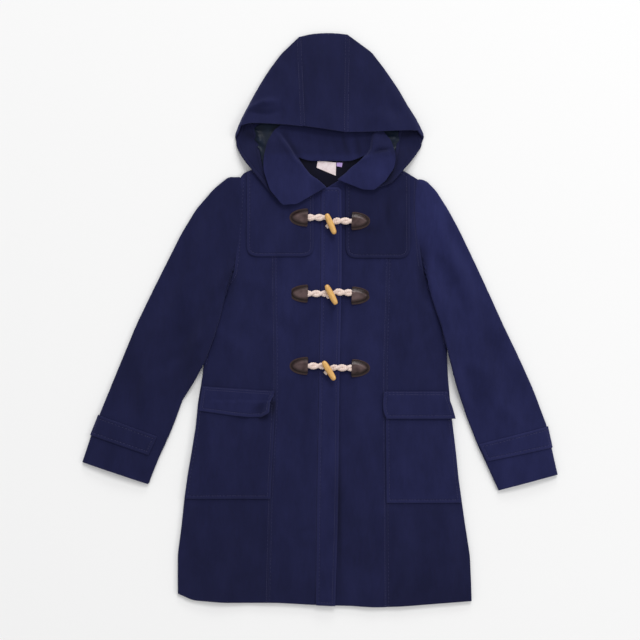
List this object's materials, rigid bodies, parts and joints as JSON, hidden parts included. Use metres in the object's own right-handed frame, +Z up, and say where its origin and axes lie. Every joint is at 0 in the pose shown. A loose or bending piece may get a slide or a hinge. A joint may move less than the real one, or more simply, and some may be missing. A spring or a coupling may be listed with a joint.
{
  "type": "duffle coat",
  "caption": "Hooded wool duffle coat laid out flat, with yokes, flap pockets, a fly band and wooden toggles on cord loops.",
  "frame": {"origin": "middle of the coat's outline as it lies, on the surface beneath it", "axes": "+X towards the wearer's left sleeve, +Y along the coat from the hem to the hood, +Z up out of the front"},
  "size_m": [0.831, 1.0036, 0.0226],
  "materials": {
    "wool_melton": "brushed navy wool melton with a short nap",
    "satin_lining": "smooth dark teal-navy satin",
    "cord_braid": "twisted pinkish-cream cord",
    "patch_leather": "dark brown leather, stitched round its rim",
    "toggle_wood": "lightly varnished pale wood",
    "label_tape": "bare woven white tape",
    "tab_tape": "bare woven lilac tape"
  },
  "bodies": {
    "root": {"back": "wool_melton", "collar": "wool_melton", "cord_l_1": "cord_braid", "cord_l_2": "cord_braid", "cord_l_3": "cord_braid", "cord_r_1": "cord_braid", "cord_r_2": "cord_braid", "cord_r_3": "cord_braid", "cuff_tab_l": "wool_melton", "cuff_tab_r": "wool_melton", "flap_l": "wool_melton", "flap_r": "wool_melton", "front_centre_l": "wool_melton", "front_centre_r": "wool_melton", "front_side_l": "wool_melton", "front_side_r": "wool_melton", "hood_centre": "wool_melton", "hood_facing_l": "wool_melton", "hood_facing_r": "wool_melton", "hood_lining": "satin_lining", "hood_side_l": "wool_melton", "hood_side_r": "wool_melton", "label": "label_tape", "neck_lining": "satin_lining", "patch_l_1": "patch_leather", "patch_l_2": "patch_leather", "patch_l_3": "patch_leather", "patch_r_1": "patch_leather", "patch_r_2": "patch_leather", "patch_r_3": "patch_leather", "placket": "wool_melton", "pocket_l": "wool_melton", "pocket_r": "wool_melton", "size_tab": "tab_tape", "sleeve_l": "wool_melton", "sleeve_r": "wool_melton", "toggle_1": "toggle_wood", "toggle_2": "toggle_wood", "toggle_3": "toggle_wood", "yoke_l": "wool_melton", "yoke_r": "wool_melton"}
  },
  "joints": []
}
